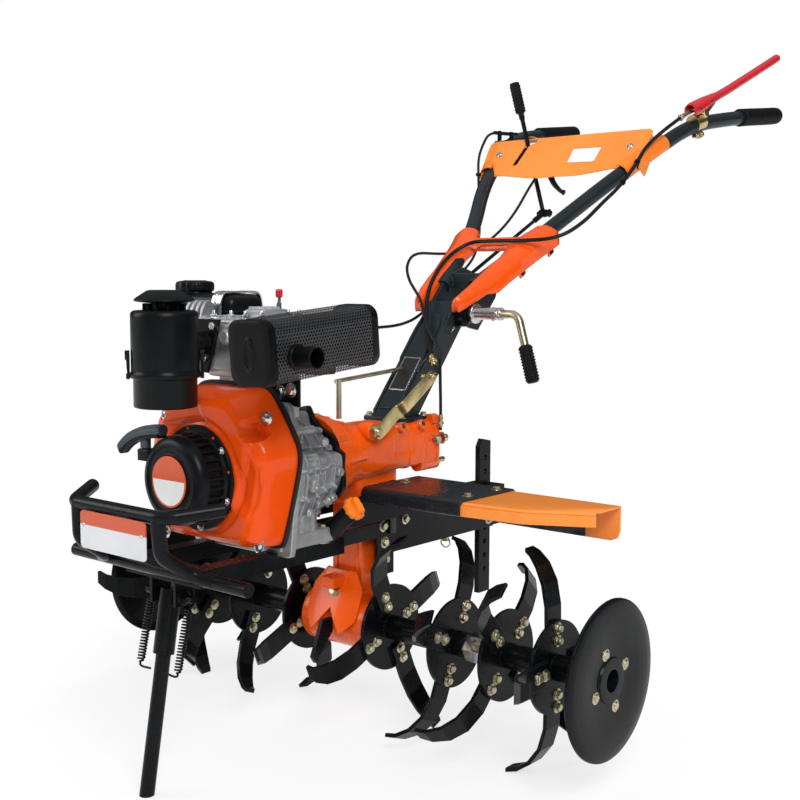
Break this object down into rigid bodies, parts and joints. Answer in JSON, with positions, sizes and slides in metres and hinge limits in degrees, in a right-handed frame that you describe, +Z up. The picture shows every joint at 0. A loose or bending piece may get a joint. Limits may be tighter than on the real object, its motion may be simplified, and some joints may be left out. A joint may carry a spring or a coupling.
{
  "type": "walk-behind diesel rotary tiller",
  "caption": "Walk-behind diesel rotary tiller and weeder: front engine, gear case on a tined rotor with end discs, front stand, fenders, depth bar and height-adjustable handlebar.",
  "frame": {"origin": "on the ground, at the middle of the machine's length and width", "axes": "+X to the operator's left, +Y to the rear (towards the grips), +Z up"},
  "size_m": [1.12, 1.7594, 1.3567],
  "materials": {
    "aluminium_cast": "cast and bead blasted, fins and bosses",
    "shroud_orange": "gloss red-orange paint",
    "gear_orange": "gloss orange paint over casting",
    "panel_orange": "satin amber-orange paint",
    "cover_orange": "moulded orange plastic",
    "cap_orange": "moulded orange plastic",
    "black_paint": "satin black paint",
    "muffler_black": "heat-proof matt black",
    "black_plastic": "moulded black plastic",
    "grey_plastic": "moulded grey plastic",
    "badge_white": "plain two-tone disc",
    "slate_paint": "satin slate grey paint",
    "tine_steel": "black painted spring steel",
    "zinc": "yellow zinc plate",
    "coupling_steel": "bright machined steel",
    "rubber": "ribbed black rubber",
    "lever_red": "dipped red plastic",
    "cable_black": "plastic cable sheath"
  },
  "bodies": {
    "root": {"crankcase": "aluminium_cast", "cylinder": "aluminium_cast", "rocker_cover": "aluminium_cast", "fan_shroud": "shroud_orange", "recoil_starter": "black_plastic", "starter_badge": "badge_white", "pull_handle": "grey_plastic", "fuel_tank": "black_paint", "fuel_cap": "black_plastic", "air_cleaner": "black_plastic", "cleaner_bracket": "black_paint", "muffler": "muffler_black", "muffler_guard": "muffler_black", "dipstick_cap": "cap_orange", "engine_frame": "black_paint", "front_bumper": "black_paint", "bumper_plate": "badge_white", "stand_bracket": "black_paint", "bell_plate": "black_paint", "gear_case": "gear_orange", "drive_leg": "gear_orange", "leg_shield": "gear_orange", "centre_blade": "tine_steel", "clutch_arm": "zinc", "shift_linkage": "zinc", "inner_fender_left": "black_paint", "inner_fender_right": "black_paint", "outer_fender_left": "panel_orange", "outer_fender_right": "panel_orange", "hitch_bracket": "black_paint", "handle_column": "slate_paint", "tank_strap": "aluminium_cast"},
    "rotor": {"rotor_axle": "coupling_steel", "inner_tines_left": "tine_steel", "outer_tines_left": "tine_steel", "drum_coupling_left": "coupling_steel", "end_disc_left": "tine_steel", "inner_tines_right": "tine_steel", "outer_tines_right": "tine_steel", "drum_coupling_right": "coupling_steel", "end_disc_right": "tine_steel"},
    "stand": {"stand_leg": "black_paint", "stand_springs": "zinc"},
    "depth_bar": {"depth_bar": "black_paint"},
    "handlebar": {"handlebar_tubes": "slate_paint", "hand_grips": "rubber", "control_panel": "panel_orange", "tube_covers": "cover_orange", "hinge_crank": "zinc", "crank_grip": "rubber", "shift_lever": "black_paint", "clutch_lever": "lever_red", "reverse_lever": "black_paint", "clutch_cable": "cable_black", "throttle_cable": "cable_black", "reverse_cable": "cable_black"}
  },
  "joints": [
    {"name": "rotor_spin", "type": "hinge", "parent": "root", "child": "rotor", "pos_m": [0, -0.3485, 0.18523], "axis": [1, 0, 0], "continuous": true},
    {"name": "stand_fold", "type": "hinge", "parent": "root", "child": "stand", "pos_m": [0, -0.7725, 0.314], "axis": [1, 0, 0], "range_deg": [0, 82]},
    {"name": "depth_bar_slide", "type": "slide", "parent": "root", "child": "depth_bar", "axis": [0, 0, 1], "range_m": [-0.12, 0.05]},
    {"name": "handlebar_height", "type": "hinge", "parent": "root", "child": "handlebar", "pos_m": [0, -0.0525, 0.748], "axis": [1, 0, 0], "range_deg": [-12, 12], "deforming": ["clutch_cable", "throttle_cable", "reverse_cable"]}
  ]
}
